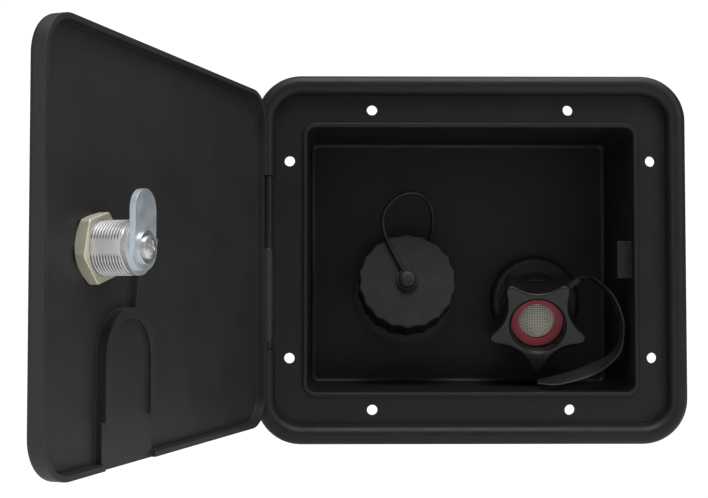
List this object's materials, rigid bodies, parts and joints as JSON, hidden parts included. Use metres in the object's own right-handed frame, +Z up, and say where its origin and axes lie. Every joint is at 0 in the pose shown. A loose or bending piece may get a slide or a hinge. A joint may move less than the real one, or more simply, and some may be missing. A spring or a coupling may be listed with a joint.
{
  "type": "rv water inlet hatch",
  "caption": "Flush wall hatch for a camper with a hinged locking door over a tub that holds a capped gravity water fill and a swivel hose inlet.",
  "frame": {"origin": "centre of the flange's wall side, in the plane that lies on the vehicle's wall", "axes": "+X to the right seen from outside, +Y into the wall, +Z up"},
  "size_m": [0.2579, 0.2757, 0.171],
  "materials": {
    "black_plastic": "satin moulded",
    "soft_plastic": "smooth moulded",
    "steel": "plated",
    "zinc": "die-cast, plated",
    "yellow_zinc": "yellow zinc plated",
    "red_rubber": "moulded",
    "screen_steel": "woven wire"
  },
  "bodies": {
    "hatch": {"hatch_frame": "black_plastic", "hinge_pin": "steel", "fill_neck": "black_plastic", "fill_tether": "soft_plastic", "inlet_body": "black_plastic", "inlet_washer": "red_rubber", "inlet_screen": "screen_steel", "tail_nut": "black_plastic", "plug_strap": "soft_plastic"},
    "door": {"door_panel": "black_plastic", "lock_body": "zinc", "lock_nut": "yellow_zinc"},
    "cam": {"lock_plug": "zinc", "stop_washer": "zinc", "lock_cam": "zinc", "cam_washer": "steel", "cam_screw": "steel"},
    "cap": {"fill_cap": "black_plastic", "cap_stud": "black_plastic"},
    "nut": {"swivel_nut": "black_plastic"}
  },
  "joints": [
    {"name": "door_hinge", "type": "hinge", "parent": "hatch", "child": "door", "pos_m": [-0.0945, -0.0055, 0], "axis": [0, 0, 1], "range_deg": [0, 108.8]},
    {"name": "cam_turn", "type": "hinge", "parent": "door", "child": "cam", "pos_m": [-0.14252, -0.14655, 0], "axis": [0.9466, -0.3223, 0], "range_deg": [0, 90]},
    {"name": "fill_cap_turn", "type": "hinge", "parent": "hatch", "child": "cap", "pos_m": [-0.028, 0.055, -0.017], "axis": [0, -0.9659, 0.2588], "range_deg": [0, 360]},
    {"name": "swivel_nut_spin", "type": "hinge", "parent": "hatch", "child": "nut", "pos_m": [0.0385, 0.055, -0.02], "axis": [-0.1, -0.9515, -0.2909], "continuous": true}
  ]
}
